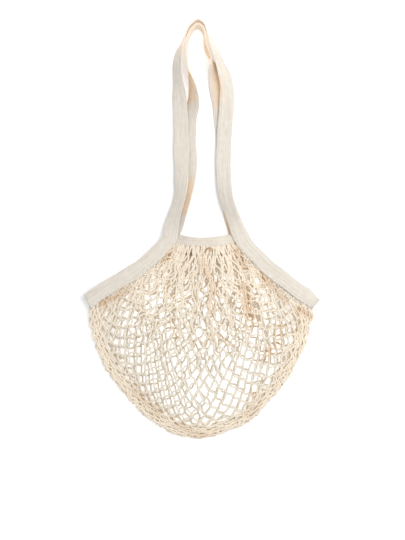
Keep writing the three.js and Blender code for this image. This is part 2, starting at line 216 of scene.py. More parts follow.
floor_glow = 0.6
glow_middle = (0.003, -0.17, 0.0)  # the glow's share follows the distance from here, in metres
glow_stops = [(0.09, (1.0,) * 3), (0.21, (0.12,) * 3), (0.30, (0.12,) * 3), (0.48, (0.7,) * 3)]
floor_half = 4.0
floor_drop = 0.0004
floor_mesh = bpy.data.meshes.new("floor")
corners = [(-1, -1), (1, -1), (1, 1), (-1, 1)]
floor_points = [(x * floor_half, y * floor_half, -floor_drop) for x, y in corners]
floor_mesh.from_pydata(floor_points, [], [(0, 1, 2, 3)])
floor_mesh.materials.append(floor_material())
floor = bpy.data.objects.new("floor", floor_mesh)
bpy.context.collection.objects.link(floor)
print("floor:", 2 * floor_half, "metres square")

# %% [markdown]
# ## Sizes
#
# These are the sizes that the solids were built from, in metres. The design was drawn round the
# middle of the mouth, and the front band is even about it, so the band's box gives its place in
# the frame.

# %% Driving sizes
bag_width = 0.375
mouth_half = 0.107 / 2
handle_rise = 0.350
corner_drop = 0.100
net_drop = 0.322
tape_width = 0.024
tape_thick = 0.0024
band_height = 0.016
band_thick = 0.0024
band_tuck = 0.008
net_wall = 0.0022
net_tuck = 0.003
rim_width = 0.009
rim_thick = 0.0044
net_loft = 0.014
mouth_arch = 0.0065
gap = 0.0003

flare = bag_width / 2 - mouth_half
dome_drop = net_drop - corner_drop
layer = tape_thick + gap
front_level = layer + band_thick + gap
net_stack = front_level + band_thick + gap

band_low, band_high = (np.array(corner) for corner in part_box("front_mouth_band"))
tallest_band = 1.1
mouth = np.array([
    (band_low[0] + band_high[0]) / 2,
    band_high[1] - tallest_band * band_height / 2,
    0.0,
])
print("middle of the mouth:", mouth.round(5))

# %% [markdown]
# ## Curves through a few chosen places
#
# Each tape is drawn by a short table, one row for each place where it bends, tilts or rises. A
# Bezier curve could be shaped by hand, but its handles say nothing about cloth. A centripetal
# Catmull-Rom curve passes through the rows themselves and never loops between close ones.

# %% The curve
def curve_through(places, values, segment, share):
    """Centripetal Catmull-Rom: between two rows, the cubic whose slopes come from the rows before
    and after, weighed by the square root of the distance between neighbouring places."""
    def padded(rows):
        rows = np.asarray(rows, float)
        return np.vstack([2 * rows[0] - rows[1], rows, 2 * rows[-1] - rows[-2]])

    at, what = padded(places), padded(values)
    reach = np.sqrt(np.linalg.norm(np.diff(at, axis=0), axis=1))[:, None]
    d0, d1, d2 = (reach[segment + k] for k in range(3))
    v0, v1, v2, v3 = (what[segment + k] for k in range(4))
    m1 = ((v1 - v0) / d0 - (v2 - v0) / (d0 + d1) + (v2 - v1) / d1) * d1
    m2 = ((v2 - v1) / d1 - (v3 - v1) / (d1 + d2) + (v3 - v2) / d2) * d1
    u = share[:, None]
    square = -3 * v1 + 3 * v2 - 2 * m1 - m2
    cube = 2 * v1 - 2 * v2 + m1 + m2
    return v1 + u * (m1 + u * (square + u * cube))


def even_steps(places, step):
    """The segment and the share of it for points about `step` apart along a line of places."""
    long = np.linalg.norm(np.diff(np.asarray(places, float), axis=0), axis=1)
    count = np.maximum(1, np.ceil(long / step)).astype(int)
    segment = np.repeat(np.arange(len(count)), count)
    first = np.repeat(np.cumsum(count) - count, count)
    share = (np.arange(len(segment)) - first) / count[segment]
    return np.append(segment, len(count) - 1), np.append(share, 1.0)


def smooth_step(low, high, value):
    """0 below low, 1 above high, and the cubic 3t^2 - 2t^3 between them."""
    t = np.clip((value - low) / (high - low), 0.0, 1.0)
    return t * t * (3 - 2 * t)


def ripple(points, size, seed):
    """Smooth unevenness from -1 to 1: the mean of plane waves about `size` long in every direction."""
    draw = np.random.default_rng(seed)
    points = np.asarray(points, float)
    waves = 10
    way = draw.normal(size=(waves, points.shape[-1]))
    way /= np.linalg.norm(way, axis=1)[:, None]
    often = 2 * math.pi / (size * draw.uniform(0.7, 1.5, waves))
    start = draw.uniform(0, 2 * math.pi, waves)
    return np.sin(points @ (way * often[:, None]).T + start).sum(axis=-1) / math.sqrt(waves) / 1.5


photo_wide, photo_high = 405, 540


def photo_line(*pixels):
    """A line given by pixels of the photograph, which shows 1.6 mm of the bag in each."""
    x, y = np.array(pixels, float).T
    size = picture_high / photo_high
    return np.column_stack([(x - photo_wide / 2) * size, (photo_high / 2 - y) * size]) + picture_middle


def nearest(line, points):
    """The distance from each point to a line of points, and the nearest point on it."""
    a, b = line[:-1], line[1:]
    way = b - a
    reach = points[:, None] - a
    t = np.clip((reach * way).sum(-1) / np.maximum((way * way).sum(-1), 1e-12), 0, 1)
    foot = a + t[..., None] * way
    far = np.linalg.norm(points[:, None] - foot, axis=-1)
    pick = far.argmin(axis=1)
    rows = np.arange(len(points))
    return far[rows, pick], foot[rows, pick]


def shaded_at(points, places):
    """How deep each point lies in shade. Each place is a line, a reach and a strength, and gives
    strength * exp(-(distance / reach)^2); the most that any place gives counts."""
    deep = np.zeros(len(points))
    for line, reach, strength in places:
        deep = np.maximum(deep, strength * np.exp(-((nearest(line, points)[0] / reach) ** 2)))
    return deep


print("a ripple's range:", ripple(np.random.default_rng(0).uniform(size=(500, 2)), 0.1, 1).round(1).max())

# %% [markdown]
# ## From arrays to a mesh
#
# A grid of points becomes a mesh in one call. Each face's four corners are written as indices
# into the points, and the corner arrays go in whole, which is quicker than adding faces one by
# one and keeps every shape a formula.

# %% Building a mesh
def build_mesh(name, points, quads, uv, material, marks=None):
    """A smooth-shaded piece from points (n, 3), quads (f, 4) and the corners' uv (f, 4, 2)."""
    mesh = bpy.data.meshes.new(name)
    mesh.vertices.add(len(points))
    mesh.vertices.foreach_set("co", np.ascontiguousarray(points, np.float32).ravel())
    mesh.loops.add(quads.size)
    mesh.loops.foreach_set("vertex_index", np.ascontiguousarray(quads, np.int32).ravel())
    mesh.polygons.add(len(quads))
    mesh.polygons.foreach_set("loop_start", np.arange(0, quads.size, 4, dtype=np.int32))
    mesh.update(calc_edges=True)
    mesh.polygons.foreach_set("use_smooth", np.ones(len(quads), bool))
    layer_uv = mesh.uv_layers.new(name="UVMap")
    layer_uv.data.foreach_set("uv", np.ascontiguousarray(uv, np.float32).ravel())
    for mark, values in (marks or {}).items():
        attribute = mesh.attributes.new(mark, "FLOAT", "POINT")
        attribute.data.foreach_set("value", np.ascontiguousarray(values, np.float32).ravel())
    mesh.validate()
    mesh.materials.append(material)
    piece = bpy.data.objects.new(name, mesh)
    bpy.context.collection.objects.link(piece)
    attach(piece, "root")
    print(f"{name}: {len(points)} points, {2 * len(quads)} triangles")
    return piece


def ring_quads(rings, sides):
    """The faces between rings of points, each ring closed on itself, pointing outwards."""
    j, k = np.meshgrid(np.arange(rings - 1), np.arange(sides), indexing="ij")
    after = (k + 1) % sides
    faces = np.stack([j * sides + k, (j + 1) * sides + k, (j + 1) * sides + after, j * sides + after], -1)
    return faces.reshape(-1, 4), j.reshape(-1), k.reshape(-1)


def lid_quads(sides):
    """The faces that close a ring: two for a ring of 6 points, one for a ring of 4."""
    return np.array([(0, 1, 2, 3), (0, 3, 4, 5)])[: sides // 2 - 1]


print("faces of a tube with 3 rings of 6:", len(ring_quads(3, 6)[0]) + 2 * len(lid_quads(6)))

# %% [markdown]
# ## The tapes' way over the bag
#
# Each handle tape starts at the left corner, edges the net, stands up as the handle, turns on its
# edge over the top, and comes down again to the right corner. The columns say where: `side` is
# the share of the half mouth, `out` of the flare from mouth to corner, `up` of the handle's rise
# and `down` of the corner's drop. `roll` is how far the inner edge is lifted, in degrees, and
# `net` and `tape` count the layers of the bag that the tape lies on. The rows are those of the
# solids, apart from the upper legs of the front tape. Those roll a little more on the left and
# less on the right, which opens the gap beside the back tape and leaves a lighter shadow.

# %% The front tape's table
front_tape_rows = [
    (-1, 1, 0, 1, 0, 1, 0),
    (-1, 0.86, 0, 0.86, 0, 1, 0),
    (-1, 0.71, 0, 0.73, 0, 1, 0),
    (-1, 0.4, 0, 0.48, 0, 1, 0),
    (-1, 0.25, 0, 0.32, 0, 1, 0),
    (-1, 0.11, 0, 0.14, 0, 1, 0),
    (-1, 0.01, 0.007, 0, 5, 1, 0),
    (-0.96, 0, 0.06, 0, 18, 0.6, 0.3),
    (-0.86, 0, 0.117, 0, 34, 0.2, 0.8),
    (-0.75, 0, 0.169, 0, 42, 0, 1),
    (-0.68, 0, 0.224, 0, 36, 0, 1),
    (-0.66, 0, 0.288, 0, 22, 0, 1),
    (-0.66, 0, 0.389, 0, 9, 0, 0.9),
    (-0.68, 0, 0.549, 0, 12, 0, 0.8),
    (-0.72, 0, 0.65, 0, 24, 0, 0.5),
    (-0.755, 0, 0.71, 0, 40, 0, 0),
    (-0.785, 0, 0.76, 0, 50, 0, 0),
    (-0.785, 0, 0.81, 0, 56, 0, 0),
    (-0.73, 0, 0.86, 0, 64, 0, 0),
    (-0.63, 0, 0.899, 0, 80, 0, 0),
    (-0.54, 0, 0.934, 0, 87, 0, 0),
    (-0.4, 0, 0.975, 0, 90, 0, 0),
    (-0.18, 0, 1, 0, 90, 0, 0),
    (0, 0, 0.986, 0, 89, 0, 0),
    (0.12, 0, 0.947, 0, 84, 0, 0),
    (0.25, 0, 0.902, 0, 68, 0, 0),
    (0.39, 0, 0.851, 0, 54, 0, 0),
    (0.53, 0, 0.796, 0, 48, 0, 0),
    (0.65, 0, 0.746, 0, 29, 0, 0),
    (0.71, 0, 0.686, 0, 16, 0, 0.7),
    (0.7, 0, 0.622, 0, 7, 0, 1),
    (0.66, 0, 0.549, 0, 4, 0, 1),
    (0.61, 0, 0.435, 0, 0, 0, 1),
    (0.59, 0, 0.32, 0, -6, 0, 1),
    (0.63, 0, 0.238, 0, -16, 0, 1.4),
    (0.71, 0, 0.174, 0, -28, 0, 1.7),
    (0.83, 0, 0.124, 0, -28, 0.2, 1.4),
    (0.95, 0, 0.078, 0, -12, 0.6, 0.5),
    (1, 0.02, 0.037, 0, -3, 1, 0),
    (1, 0.08, 0, 0.02, 0, 1, 0),
    (1, 0.15, 0, 0.144, 0, 1, 0),
    (1, 0.25, 0, 0.272, 0, 1, 0),
    (1, 0.36, 0, 0.424, 0, 1, 0),
    (1, 0.53, 0, 0.6, 0, 1, 0),
    (1, 0.74, 0, 0.816, 0, 1, 0),
    (1, 0.95, 0, 0.99, 0, 1, 0),
]
print("front tape:", len(front_tape_rows), "rows")

# %% The back tape's table
back_tape_rows = [
    (-1, 1, 0, 1, 0, 0, 0),
    (-1, 0.86, 0, 0.86, 0, 0, 0),
    (-1, 0.71, 0, 0.73, 0, 0, 0),
    (-1, 0.4, 0, 0.48, 0, 0, 0),
    (-1, 0.25, 0, 0.32, 0, 0, 0),
    (-1, 0.11, 0, 0.14, 0, 0, 0),
    (-0.98, 0, 0.01, 0, 0, 0, 0),
    (-0.93, 0, 0.035, 0, 0, 0, 0),
    (-0.83, 0, 0.065, 0, 6, 0, 0),
    (-0.7, 0, 0.12, 0, 24, 0, 0),
    (-0.6, 0, 0.17, 0, 32, 0, 0),
    (-0.5, 0, 0.23, 0, 28, 0, 0),
    (-0.43, 0, 0.3, 0, 14, 0, 0),
    (-0.42, 0, 0.389, 0, 0, 0, 0),
    (-0.45, 0, 0.48, 0, 0, 0, 0),
    (-0.4, 0, 0.565, 0, 12, 0, 0),
    (-0.3, 0, 0.63, 0, 40, 0, 0),
    (-0.32, 0, 0.69, 0, 58, 0, 0),
    (-0.38, 0, 0.737, 0, 76, 0, 0),
    (-0.44, 0, 0.77, 0, 90, 0, 0),
    (-0.48, 0, 0.815, 0, 95, 0, 0),
    (-0.5, 0, 0.86, 0, 96, 0, 0),
    (-0.49, 0, 0.9, 0, 98, 0, 0),
    (-0.43, 0, 0.932, 0, 100, 0, 0),
    (-0.34, 0, 0.958, 0, 100, 0, 0),
    (-0.2, 0, 0.974, 0, 100, 0, 0),
    (-0.06, 0, 0.963, 0, 98, 0, 0),
    (0.02, 0, 0.935, 0, 93, 0, 0),
    (0.03, 0, 0.897, 0, 92, 0, 0),
    (0.1, 0, 0.862, 0, 100, 0, 0),
    (0.22, 0, 0.826, 0, 88, 0, 0),
    (0.3, 0, 0.796, 0, 52, 0, 0),
    (0.36, 0, 0.755, 0, 16, 0, 0),
    (0.4, 0, 0.69, 0, 0, 0, 0),
    (0.48, 0, 0.62, 0, 0, 0, 0),
    (0.56, 0, 0.53, 0, 0, 0, 0),
    (0.59, 0, 0.41, 0, 0, 0, 0),
    (0.6, 0, 0.3, 0, -6, 0, 0),
    (0.65, 0, 0.23, 0, -16, 0, 0),
    (0.72, 0, 0.17, 0, -28, 0, 0),
    (0.8, 0, 0.12, 0, -24, 0, 0),
    (0.9, 0, 0.07, 0, -6, 0, 0),
    (0.96, 0, 0.035, 0, 0, 0, 0),
    (0.99, 0, 0.01, 0, 0, 0, 0),
    (1, 0.08, 0, 0.03, 0, 0, 0),
    (1, 0.15, 0, 0.144, 0, 0, 0),
    (1, 0.25, 0, 0.272, 0, 0, 0),
    (1, 0.36, 0, 0.424, 0, 0, 0),
    (1, 0.53, 0, 0.6, 0, 0, 0),
    (1, 0.74, 0, 0.816, 0, 0, 0),
    (1, 0.95, 0, 0.99, 0, 0, 0),
]
print("back tape:", len(back_tape_rows), "rows")

# %% Stations along a strip of cloth
def stations(places, roll, width, lift, step):
    """Points along the middle of a strip, with the way along, the way inward (to the right of
    travel), the roll in radians, the width and the height of the underside at each of them."""
    segment, share = even_steps(places, step)
    values = np.column_stack([places, roll, width, lift])
    drawn = curve_through(places, values, segment, share)
    at = drawn[:, :2]
    along = np.gradient(at, axis=0)
    along /= np.linalg.norm(along, axis=1)[:, None]
    length = np.append(0, np.cumsum(np.linalg.norm(np.diff(at, axis=0), axis=1)))
    return {
        "at": at,
        "along": along,
        "inward": np.column_stack([along[:, 1], -along[:, 0]]),
        "roll": np.radians(drawn[:, 2]),
        "width": drawn[:, 3],
        "lift": np.maximum(drawn[:, 4], 0.0),
        "length": length,
    }


def tape_stations(rows, step):
    """The tape's places: X is side * mouth_half + out * flare, Y is up * rise - down * drop."""
    side, out, up, down, roll, net, tape = np.array(rows, float).T
    x = side * mouth_half + np.sign(side) * out * flare + mouth[0]
    y = up * handle_rise - down * corner_drop + mouth[1]
    width = np.full(len(x), tape_width)
    return stations(np.column_stack([x, y]), roll, width, net * net_stack + tape * layer, step)


tape_step = 0.0018
front_tape = tape_stations(front_tape_rows, tape_step)
back_tape = tape_stations(back_tape_rows, tape_step)
for name, tape in (("front", front_tape), ("back", back_tape)):
    print(f"{name} tape: {tape['length'][-1]:.3f} m long, {len(tape['at'])} stations")

# %% [markdown]
# ## Folded cotton cloth
#
# The tapes and bands are a strip of cotton folded to two layers and stitched along both edges.
# On the real thing the folded edges are round, the stitching pulls a shallow groove, the fabric
# puckers where the net is gathered into it, and no edge runs quite straight. A flat ribbon with
# a bump map would give none of that from the side, so the section is a loft of its own.

# %% The section of a folded strip
def strip_section(points_across):
    """Shares across (-1 to 1) and through the cloth (-0.5 to 0.5), once round the section: a
    rounded slab, |b| = (1 - a^10)^(1/2) / 2, with a groove at each line of stitching."""
    top = np.cos(np.linspace(0, math.pi, points_across))
    across = np.concatenate([top, top[-2:0:-1]])
    upper = np.concatenate([np.ones(points_across), -np.ones(points_across - 2)])
    through = upper * np.sqrt(np.maximum(0, 1 - across**10)) / 2
    through *= 1 - stitch_depth * np.exp(-(((np.abs(across) - stitch_line) / stitch_wide) ** 2))
    return across, through


stitch_line = 0.8  # shares of the half width
stitch_wide = 0.035
stitch_depth = 0.35
pucker_step = 0.0078
section_across, section_through = strip_section(21)


def strip_points(path, thick, seed, pucker):
    """Carries the section along a path: middle + across * a * width / 2 + through * b * thick,
    with across turned up by the roll. Ripples bend both faces together and sway the edges."""
    roll = path["roll"][:, None]
    inward = np.column_stack([path["inward"], np.zeros(len(roll))])
    up = np.array([0.0, 0.0, 1.0])
    across = np.cos(roll) * inward + np.sin(roll) * up
    through = np.cos(roll) * up - np.sin(roll) * inward
    high = path["width"] * np.abs(np.sin(path["roll"])) + thick * np.abs(np.cos(path["roll"]))
    middle = np.column_stack([path["at"], path["lift"] + high / 2])
    along = np.broadcast_to(path["length"][:, None], (len(roll), len(section_across)))
    width = np.broadcast_to(section_across * tape_width / 2, along.shape)
    place = np.stack([along, width], -1)
    sway = edge_sway * ripple(place[..., :1], sway_size, seed) * section_across
    broad = ripple(place * [1, 0.45], broad_size, seed + 1)
    fine = ripple(place, fine_size, seed + 2)
    bend = cloth_ripple * (broad + 0.6 * fine)
    near_edge = smooth_step(0.55, 1.0, section_across)
    beat = np.sin(2 * math.pi * along / pucker_step + 1.5 * ripple(place[..., :1], 0.02, seed + 3))
    bend = bend + pucker_depth * pucker[:, None] * near_edge * beat
    sway = sway + 0.5 * pucker_depth * pucker[:, None] * near_edge * beat
    a = section_across * path["width"][:, None] / 2 + sway
    b = section_through * thick + bend * smooth_step(0, 0.02, along) * (1 - 0.6 * section_across**8)
    return middle[:, None] + a[..., None] * across[:, None] + b[..., None] * through[:, None]


edge_sway = 0.0006
sway_size = 0.055
cloth_ripple = 0.00028
broad_size = 0.016
fine_size = 0.007
pucker_depth = 0.0008


def slant_ends(points, path, ends):
    """Shifts the outer corner of each end along and inward, fading out over `end_fade`."""
    outer = (1 - section_across) / 2
    for from_end, (along, inward) in zip((path["length"], path["length"][-1] - path["length"]), ends):
        share = (outer * (1 - smooth_step(0, end_fade, from_end))[:, None])[..., None]
        points[..., :2] += share * (along * path["along"] + inward * path["inward"])[:, None]
    return points


end_fade = 0.022


def strip_piece(name, path, thick, material, seed, pucker, shaded, ends=((0, 0), (0, 0))):
    """A closed strip. Its first and last rings are pressed flat, and there each point of the
    lower face is the point of the upper face above it, so the ends are sewn shut. Each point
    also carries how far the strip is turned on its edge there, and how deep in shade it lies."""
    points = slant_ends(strip_points(path, thick, seed, pucker), path, ends)
    points[..., 2] = np.maximum(points[..., 2], 0.0)
    rings, sides = points.shape[:2]
    quads, j, k = ring_quads(rings, sides)
    corner_k = np.stack([k, k, k + 1, k + 1], -1)
    corner_j = np.stack([j, j + 1, j + 1, j], -1)
    across = np.append(section_across, section_across[0]) * tape_width / 2
    uv = np.stack([across[corner_k], path["length"][corner_j]], -1)
    twin = np.arange(rings * sides)
    under = np.arange(sides // 2 + 1, sides)
    for ring in (0, rings - 1):
        twin[ring * sides + under] = ring * sides + sides - under
    kept, quads = np.unique(twin[quads], return_inverse=True)
    points = points.reshape(-1, 3)[kept]
    turned = np.repeat(smooth_step(0.8, 1.0, np.abs(np.sin(path["roll"]))), sides)[kept]
    marks = {"turned": turned, "deep": shaded_at(points[:, :2], shaded)}
    return build_mesh(name, points, quads.reshape(-1, 4), uv, material, marks)


# where the back tape and the bands lie in the warm half shade of a fold or of the tape over them
shaded_places = [
    (photo_line((189, 76), (189, 96)), 0.012, 1.0),
    (photo_line((187, 186), (183, 206)), 0.013, 0.85),
    (photo_line((205, 44), (210, 58)), 0.009, 0.8),
    (photo_line((226, 212), (229, 232)), 0.005, 0.8),
    (photo_line((216, 58), (219, 80), (221, 104)), 0.009, 1.0),
    (photo_line((233, 242), (237, 247)), 0.004, 0.35),
]
# creases of the front tape, drawn as narrow shade
crease_places = [
    (photo_line((221, 78), (222, 88), (224, 101)), 0.0022, 0.5),
    (photo_line((221, 66), (227, 79)), 0.0016, 0.45),
    (photo_line((181, 44), (182, 60)), 0.0018, 0.5),
]
print("points round a section:", len(section_across))

# %% [markdown]
# ## Cotton tape, close up
#
# Undyed tape is a pale grey beige. Its warp threads run along it as fine ribs, with a thicker
# slub here and there that shows as a long faint streak, and the weft crosses them with a much
# finer step. Flecks of seed husk are left in undyed cotton. An image could hold this, but waves
# along the piece's own UV map, which is in metres, stay sharp at any distance and follow every
# turn of the cloth.
#
# Thin cotton lets light through. Where the tape stands on its edge it is lit from both sides, and
# where it lies half under a fold the light that reaches it has passed through cotton and is warm.
# Real scattering under the surface would be slow for so small an effect, so both are a faint glow
# that follows what each point carries. Under a fold the colour also turns tan, as painted shade.

# %% Tape material
def tape_material(name, pale, warm):
    material, tree = new_material(name)
    uv = add(tree, "ShaderNodeUVMap", {"uv_map": "UVMap"})
    split = add(tree, "ShaderNodeSeparateXYZ", None, {0: uv})
    across, along = split, Link(tree, split.socket.node.outputs[1])

    def noise(scale, detail):
        """Noise with so many waves a metre across and along the tape."""
        place = add(tree, "ShaderNodeVectorMath", {"operation": "MULTIPLY"}, {0: uv, 1: scale})
        settings = {"Vector": place, "Scale": 1.0, "Detail": detail, "Roughness": 0.6}
        return add(tree, "ShaderNodeTexNoise", None, settings)

    streak = noise((900.0, 9.0, 1.0), 3.0)
    rib = noise((340.0, 14.0, 1.0), 2.0)
    slub = noise((260.0, 22.0, 1.0), 2.0)
    patch = noise((150.0, 110.0, 1.0), 2.0)
    cloud = noise((40.0, 30.0, 1.0), 2.0)
    warp = across.maths("SINE", across * (2 * math.pi / warp_step) + streak * 2.0)
    weft = along.maths("SINE", along * (2 * math.pi / weft_step) + slub * 3.0)
    stitch_gap = across.maths("ABSOLUTE", across) - tape_width / 2 * stitch_line
    groove = stitch_gap.maths("ABSOLUTE", stitch_gap)
    seam = groove.maths("LESS_THAN", groove, thread_half)
    beat = along.maths("SINE", along * (2 * math.pi / stitch_step))
    thread = seam * beat.maths("GREATER_THAN", beat, -0.35)
    # the colour goes darker and lighter along the ribs, slubs, streaks and patches
    rib_streak_tone = streak * 0.3 + rib * 0.6 + slub * 0.2 + patch * 0.3
    shade = add(tree, "ShaderNodeMapRange", None, {0: rib_streak_tone, 1: 0.52, 2: 0.88})
    colour = blend_colours(tree, shade, pale, warm)
    husk = add(tree, "ShaderNodeTexVoronoi", None, {"Vector": uv, "Scale": 160.0})
    fleck = husk.maths("LESS_THAN", husk, 0.035) * 0.5
    colour = blend_colours(tree, fleck, colour, husk_brown)
    colour = blend_colours(tree, thread * 0.6, colour, thread_white)
    woven = warp * 0.35 + weft * 0.25 + thread * 1.5
    height = woven + slub * 0.8 + cloud * 1.2 + rib * 2.0 + patch * 1.5
    rough = slub * 0.15 + 0.8
    turned = add(tree, "ShaderNodeAttribute", {"attribute_name": "turned"}, None, out=2)
    shaded = add(tree, "ShaderNodeAttribute", {"attribute_name": "deep"}, None, out=2)
    # painted shade: under folds, under the other tape and in creases the colour turns tan
    colour = blend_colours(tree, shaded * 0.9, colour, shaded_tan)
    through = blend_colours(tree, turned * 0.8, flat_glow, turned_glow)
    through = blend_colours(tree, shaded * 0.8, through, shaded_glow)
    finish_cloth(tree, colour, height, weave_depth, rough, through)
    return material


warp_step = 0.0012
weft_step = 0.0009
weave_depth = 0.00025
stitch_step = 0.0028
thread_half = 0.0006
husk_brown = (0.45, 0.33, 0.20, 1.0)
thread_white = (0.90, 0.86, 0.78, 1.0)
shaded_tan = (0.78, 0.56, 0.37, 1.0)
flat_glow = (0.01, 0.009, 0.008, 1.0)
turned_glow = (0.26, 0.175, 0.105, 1.0)
shaded_glow = (0.10, 0.065, 0.038, 1.0)
tape_cotton = tape_material("tape_cotton", (0.725, 0.68, 0.605, 1.0), (0.60, 0.54, 0.465, 1.0))
band_cotton = tape_material("band_cotton", (0.75, 0.695, 0.61, 1.0), (0.62, 0.555, 0.47, 1.0))
print("tape materials:", tape_cotton.name, band_cotton.name)

# %% [markdown]
# ## The four strips
#
# With the way and the section worked out, each strip is one call. Along the net the tapes pucker
# at every loop that is sewn into them, and the handles above are smooth.

# %% Tapes
def pucker_along(path):
    """1 where the tape edges the net, fading to 0 over the first few centimetres of the handle."""
    return 1 - smooth_step(mouth[1] - 0.02, mouth[1] + 0.03, path["at"][:, 1])


tape_ends = ((0.0046, 0.0), (0.003, 0.006))  # the outer corner's shift at each end: along, inward


def wear_tape(name, node, path, seed, shaded):
    pucker = pucker_along(path)
    piece = strip_piece(name, path, tape_thick, tape_cotton, seed, pucker, shaded, tape_ends)
    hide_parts(node)


wear_tape("front_tape_cloth", "front_handle_tape", front_tape, 10, crease_places)
wear_tape("back_tape_cloth", "back_handle_tape", back_tape, 20, shaded_places)

# %% Bands
band_rows = [
    # along, sag, tall, arch: shares of the half mouth, of the band's height (twice) and of the arch
    (-1, 0, 1.1, 0),
    (-0.75, 0.04, 1.1, 0.1),
    (-0.5, 0.14, 1.04, 0.75),
    (-0.2, 0.22, 0.96, 1),
    (0.2, 0.22, 0.96, 1),
    (0.5, 0.14, 1.04, 0.75),
    (0.75, 0.04, 1.1, 0.1),
    (1, 0, 1.1, 0),
]


def band_stations(level, arch_size, step):
    along, sag, tall, arch = np.array(band_rows, float).T
    reach = mouth_half - tape_width / 2 + band_tuck
    places = np.column_stack([along * reach, -sag * band_height]) + mouth[:2]
    return stations(places, np.zeros(len(along)), tall * band_height, level + arch * arch_size, step)


def wear_band(name, node, path, seed):
    pucker = np.full(len(path["at"]), band_pucker)
    piece = strip_piece(name, path, band_thick, band_cotton, seed, pucker, shaded_places)
    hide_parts(node)


band_pucker = 1.2
band_step = 0.0013
front_band = band_stations(front_level, mouth_arch, band_step)
back_band = band_stations(layer, -layer, band_step)
wear_band("front_band_cloth", "front_mouth_band", front_band, 30)
wear_band("back_band_cloth", "back_mouth_band", back_band, 40)

# %% [markdown]
# ## The net's outline
#
# The net is held on three sides and folded on the fourth. Its top is sewn into the band, its two
# sides into the tapes, and the folded edge hangs in a wide curve from corner to corner. Those
# four lines are all that the shape of the net depends on.

# %% The four sides of the net
edge_rows = [
    # across: share of the half width; down: share of the drop from the corners to the bottom
    (0.94, 0.08),
    (0.925, 0.18),
    (0.885, 0.31),
    (0.84, 0.4),
    (0.785, 0.49),
    (0.675, 0.635),
    (0.6, 0.71),
    (0.45, 0.842),
    (0.34, 0.91),
    (0.15, 0.968),
    (0.02, 0.995),
    (-0.1, 0.995),
    (-0.22, 0.977),
    (-0.37, 0.906),
    (-0.53, 0.812),
    (-0.67, 0.675),
    (-0.8, 0.53),
    (-0.895, 0.38),
    (-0.965, 0.195),
    (-0.985, 0.11),
    (-0.98, 0.03),
]


def along_line(line, share):
    """Points at even shares of a line's length."""
    long = np.append(0, np.cumsum(np.linalg.norm(np.diff(line, axis=0), axis=1)))
    return np.column_stack([np.interp(share * long[-1], long, line[:, k]) for k in range(line.shape[1])])


def net_sides(tape, band):
    """The band's lower edge, the left and right tapes' inner edges from mouth to corner, and the
    folded edge, each as a line of points in plan."""
    top = band["at"] + band["inward"] * (band["width"][:, None] / 2 - net_tuck)
    top = top[np.abs(top[:, 0] - mouth[0]) < mouth_half - tape_width / 2 + net_tuck]
    inner = tape["at"] + tape["inward"] * (tape_width / 2 - net_tuck)
    below = inner[:, 1] < top[:, 1].max() - gap
    left = inner[below & (inner[:, 0] < mouth[0])][::-1]
    right = inner[below & (inner[:, 0] > mouth[0])]
    across, down = np.array(edge_rows[::-1], float).T
    knots = np.column_stack([across * bag_width / 2, -corner_drop - down * dome_drop]) + mouth[:2]
    segment, share = even_steps(knots, 0.004)
    return top, left, right, curve_through(knots, knots, segment, share)


front_sides = net_sides(front_tape, front_band)
back_sides = net_sides(back_tape, back_band)
for name, line in zip(("band", "left tape", "right tape", "fold"), front_sides):
    print(f"{name}: {np.linalg.norm(np.diff(line, axis=0), axis=1).sum():.3f} m")

# %% [markdown]
# ## Heights of the net
#
# The back of the net lies on the floor. The front is lifted by its own folds, most of all in the
# middle and at the ridges where it is bunched. These are the heights that the solids were given,
# as formulas of the distance to the tapes and to the folded edge.

# %% Distances and folds
fold_rows = [
    # across, down, to_across, to_down: ends as shares of half width and net drop; rise, broad
    (-0.03, 0.1, 0.05, 0.36, 0.4, 0.07),
    (0.34, 0.24, 0.36, 0.5, 0.45, 0.07),
    (0.82, 0.36, 0.72, 0.56, 0.5, 0.08),
    (0.72, 0.56, 0.4, 0.64, 0.4, 0.09),
    (-0.45, 0.57, 0.4, 0.56, 0.35, 0.06),
    (-0.85, 0.4, -0.6, 0.68, 0.4, 0.08),
    (-0.36, 0.16, -0.5, 0.46, -0.35, 0.08),
    (0.12, 0.6, 0.2, 0.88, -0.3, 0.14),
]
gathers = 11
gather_depth = 0.14
fold_share = 0.6


def fold_line(row):
    """A fold's two ends in plan, from the shares in its row."""
    x = np.array([row[0], row[2]]) * bag_width / 2
    y = -np.array([row[1], row[3]]) * net_drop
    return np.column_stack([x, y]) + mouth[:2]


def folds(points):
    """Every fold adds rise * exp(-(distance / breadth)^2), and the gathers under the band a fan
    of cosines that fades out below the corners."""
    height = np.zeros(len(points))
    for row in fold_rows:
        away = nearest(fold_line(row), points)[0] / (row[5] * bag_width / 2)
        height += row[4] * np.exp(-away * away)
    x, y = (points - mouth[:2]).T
    fade = 1 - smooth_step(corner_drop * 0.4, corner_drop * 1.6, -y)
    return height + gather_depth * fade * np.cos(np.arctan2(x, mouth_half - y) * gathers * 2)


def net_height(points, sides, is_front):
    """The height of the middle of the net's layer at points in plan."""
    top, left, right, edge = sides
    from_tape = np.minimum(nearest(left, points)[0], nearest(right, points)[0])
    from_edge = nearest(edge, points)[0]
    near_tape = 1 - smooth_step(tape_width * 0.7, tape_width * 2.2, from_tape)
    bunch = (1 - smooth_step(rim_width, rim_width * 2.2, from_edge)) * (1 - near_tape)
    half = (net_wall + (rim_thick - net_wall) * bunch) / 2
    if not is_front:
        return layer * near_tape + half
    base = (rim_thick + gap) * (1 - near_tape) + (layer + net_wall + gap) * near_tape
    round_edge = smooth_step(rim_width * 0.8, dome_drop * 0.35, from_edge)
    crown = round_edge * smooth_step(tape_width * 0.4, dome_drop * 0.36, from_tape)
    x, y = (points - mouth[:2]).T
    bowed = 1 - smooth_step(0, net_drop * 0.16, -y)
    open_mouth = 1 - smooth_step(mouth_half * 0.25, mouth_half * 0.95, np.abs(x))
    lifted = crown * (1 + fold_share * folds(points)) * net_loft
    return base + np.maximum(lifted, bowed * open_mouth * mouth_arch) + half


